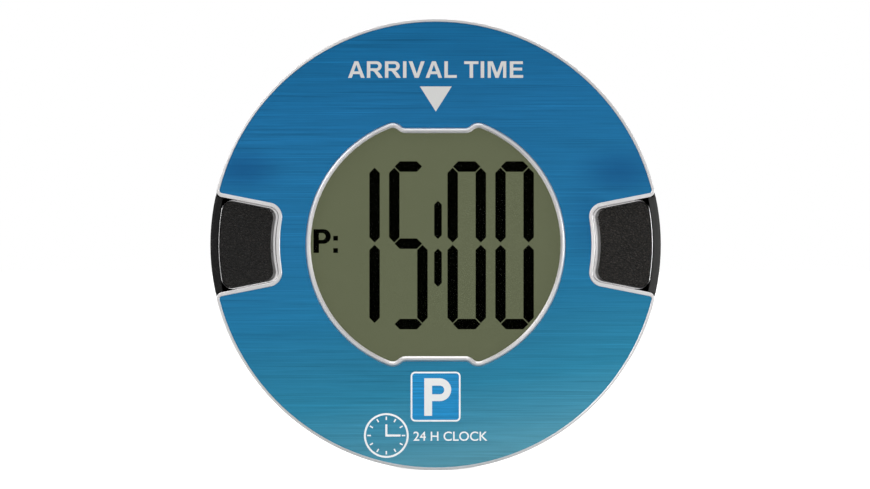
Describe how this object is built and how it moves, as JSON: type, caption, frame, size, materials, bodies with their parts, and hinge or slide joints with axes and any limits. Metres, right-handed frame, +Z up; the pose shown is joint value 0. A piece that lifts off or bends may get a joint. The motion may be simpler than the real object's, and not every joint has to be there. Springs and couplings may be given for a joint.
{
  "type": "electronic parking disc",
  "caption": "Round electronic parking disc for a windscreen: blue face, round clock display, a press button each side and a twist-off battery cover behind.",
  "frame": {"origin": "centre of the disc, half way through its thickness, standing upright", "axes": "face towards -Y, +X to the right of its face's reader, +Z up"},
  "size_m": [0.105, 0.016, 0.105],
  "materials": {
    "bezel_chrome": "satin",
    "face_blue": "satin",
    "tape": "matte",
    "lens_clear": "gloss",
    "foam_black": "matte",
    "lcd_film": "matte",
    "lcd_dark": "matte",
    "display_glass": "gloss",
    "frame_white": "matte",
    "zebra_rubber": "matte",
    "board_green": "satin",
    "chip_black": "matte",
    "crystal_steel": "satin",
    "component_ceramic": "satin",
    "contact_gold": "satin",
    "button_chrome": "gloss",
    "pad_black": "matte",
    "dome_silicone": "matte",
    "pill_carbon": "matte",
    "housing_black": "matte",
    "cell_steel": "satin",
    "spring_steel": "satin",
    "screw_steel": "satin"
  },
  "bodies": {
    "body": {"front_bezel": "bezel_chrome", "face_inlay": "face_blue", "lens_adhesive": "tape", "display_lens": "lens_clear", "lens_gasket": "foam_black", "lcd_polarizer": "lcd_film", "lcd_segments": "lcd_dark", "lcd_front_glass": "display_glass", "lcd_rear_glass": "display_glass", "lcd_reflector": "lcd_film", "lcd_frame": "frame_white", "zebra_strip_upper": "zebra_rubber", "zebra_strip_lower": "zebra_rubber", "main_board": "board_green", "controller_chip": "chip_black", "motion_sensor": "chip_black", "clock_crystal": "crystal_steel", "board_components": "component_ceramic", "button_contacts": "contact_gold", "button_dome_left": "dome_silicone", "button_dome_right": "dome_silicone", "rear_housing": "housing_black", "cover_seal": "foam_black", "coin_cell_left": "cell_steel", "coin_cell_right": "cell_steel", "negative_contact": "spring_steel", "positive_contact": "spring_steel", "housing_screws": "screw_steel", "board_screws": "screw_steel"},
    "button_left": {"button_frame_left": "button_chrome", "button_pad_left": "pad_black", "contact_pill_left": "pill_carbon"},
    "button_right": {"button_frame_right": "button_chrome", "button_pad_right": "pad_black", "contact_pill_right": "pill_carbon"},
    "cover": {"battery_cover": "housing_black"}
  },
  "joints": [
    {"name": "left_button_press", "type": "slide", "parent": "body", "child": "button_left", "axis": [0, 1, 0], "range_m": [0, 0.001], "stiffness_N_per_m": 1500, "springref_m": -0.0003, "deforming": ["button_dome_left"]},
    {"name": "right_button_press", "type": "slide", "parent": "body", "child": "button_right", "axis": [0, 1, 0], "range_m": [0, 0.001], "stiffness_N_per_m": 1500, "springref_m": -0.0003, "deforming": ["button_dome_right"]},
    {"name": "battery_cover_turn", "type": "hinge", "parent": "body", "child": "cover", "pos_m": [0, 0.0072, 0], "axis": [0, 1, 0], "range_deg": [0, 30]}
  ]
}
